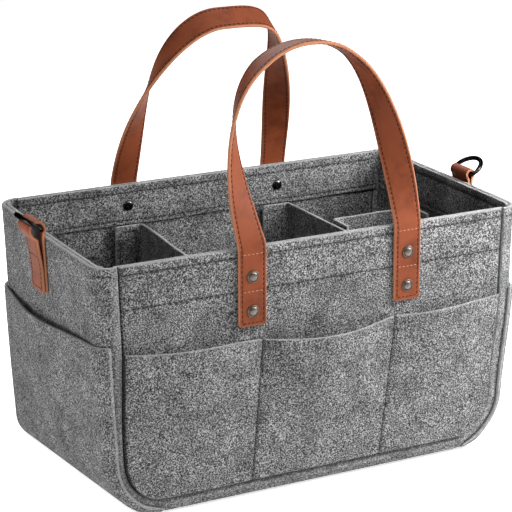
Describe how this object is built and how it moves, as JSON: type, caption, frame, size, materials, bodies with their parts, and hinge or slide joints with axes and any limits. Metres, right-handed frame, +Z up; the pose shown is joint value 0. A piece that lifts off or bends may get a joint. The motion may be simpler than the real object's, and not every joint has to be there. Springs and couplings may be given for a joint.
{
  "type": "diaper caddy",
  "caption": "Open felt caddy with leather strap handles, outer pouches all round, movable inner dividers and a ring tab at each end.",
  "frame": {"origin": "under the middle of the base, on the surface it stands on", "axes": "+X along the length towards the right end, +Y from the front to the back, +Z up"},
  "size_m": [0.4305, 0.2566, 0.3738],
  "materials": {
    "felt": "heather grey pressed felt",
    "liner_felt": "heather grey pressed felt, inner layer",
    "board": "stiffener sheet",
    "leather": "smooth tan leather, stitched edges",
    "rivet_metal": "gunmetal plated",
    "rivet_back_metal": "black plated",
    "ring_metal": "black nickel plated wire",
    "hook_tape": "hook tape"
  },
  "bodies": {
    "caddy_body": {"gusset": "felt", "front_panel": "felt", "back_panel": "felt", "front_pocket": "felt", "back_pocket": "felt", "left_pocket": "felt", "right_pocket": "felt", "front_facing": "liner_felt", "back_facing": "liner_felt", "left_facing": "liner_felt", "right_facing": "liner_felt", "base_board": "board", "front_handle_left_end": "leather", "front_handle_right_end": "leather", "back_handle_left_end": "leather", "back_handle_right_end": "leather", "left_ring_tab": "leather", "right_ring_tab": "leather", "front_left_upper_rivet_cap": "rivet_metal", "front_left_upper_rivet_back": "rivet_back_metal", "front_left_lower_rivet_cap": "rivet_metal", "front_left_lower_rivet_back": "rivet_back_metal", "front_right_upper_rivet_cap": "rivet_metal", "front_right_upper_rivet_back": "rivet_back_metal", "front_right_lower_rivet_cap": "rivet_metal", "front_right_lower_rivet_back": "rivet_back_metal", "back_left_upper_rivet_cap": "rivet_metal", "back_left_upper_rivet_back": "rivet_back_metal", "back_left_lower_rivet_cap": "rivet_metal", "back_left_lower_rivet_back": "rivet_back_metal", "back_right_upper_rivet_cap": "rivet_metal", "back_right_upper_rivet_back": "rivet_back_metal", "back_right_lower_rivet_cap": "rivet_metal", "back_right_lower_rivet_back": "rivet_back_metal"},
    "front_handle": {"front_handle_loop": "leather"},
    "back_handle": {"back_handle_loop": "leather"},
    "left_d_ring": {"left_ring": "ring_metal"},
    "right_d_ring": {"right_ring": "ring_metal"},
    "left_cross_divider": {"left_divider": "liner_felt", "left_divider_front_tape": "hook_tape", "left_divider_back_tape": "hook_tape"},
    "right_cross_divider": {"right_divider": "liner_felt", "right_divider_front_tape": "hook_tape", "right_divider_back_tape": "hook_tape"},
    "long_cross_divider": {"long_divider": "liner_felt", "long_divider_inner_tape": "hook_tape", "long_divider_wall_tape": "hook_tape"}
  },
  "joints": [
    {"name": "front_handle_swing", "type": "hinge", "parent": "caddy_body", "child": "front_handle", "pos_m": [0.009, -0.1137, 0.217], "axis": [1, 0, 0], "range_deg": [-15, 165]},
    {"name": "back_handle_swing", "type": "hinge", "parent": "caddy_body", "child": "back_handle", "pos_m": [-0.0025, 0.1137, 0.217], "axis": [-1, 0, 0], "range_deg": [-15, 165]},
    {"name": "left_ring_swing", "type": "hinge", "parent": "caddy_body", "child": "left_d_ring", "pos_m": [-0.20083, -0.00103, 0.22262], "axis": [-0.0086, 1, -0.0006], "range_deg": [-100, 150]},
    {"name": "right_ring_swing", "type": "hinge", "parent": "caddy_body", "child": "right_d_ring", "pos_m": [0.19576, -0.01499, 0.22284], "axis": [0.0033, -1, -0.0001], "range_deg": [-100, 150]},
    {"name": "left_divider_shift", "type": "slide", "parent": "caddy_body", "child": "left_cross_divider", "axis": [1, 0, 0], "range_m": [-0.05, 0.07]},
    {"name": "right_divider_shift", "type": "slide", "parent": "caddy_body", "child": "right_cross_divider", "axis": [1, 0, 0], "range_m": [-0.05, 0]},
    {"name": "long_divider_shift", "type": "slide", "parent": "caddy_body", "child": "long_cross_divider", "axis": [0, 1, 0], "range_m": [-0.06, 0.05]}
  ]
}
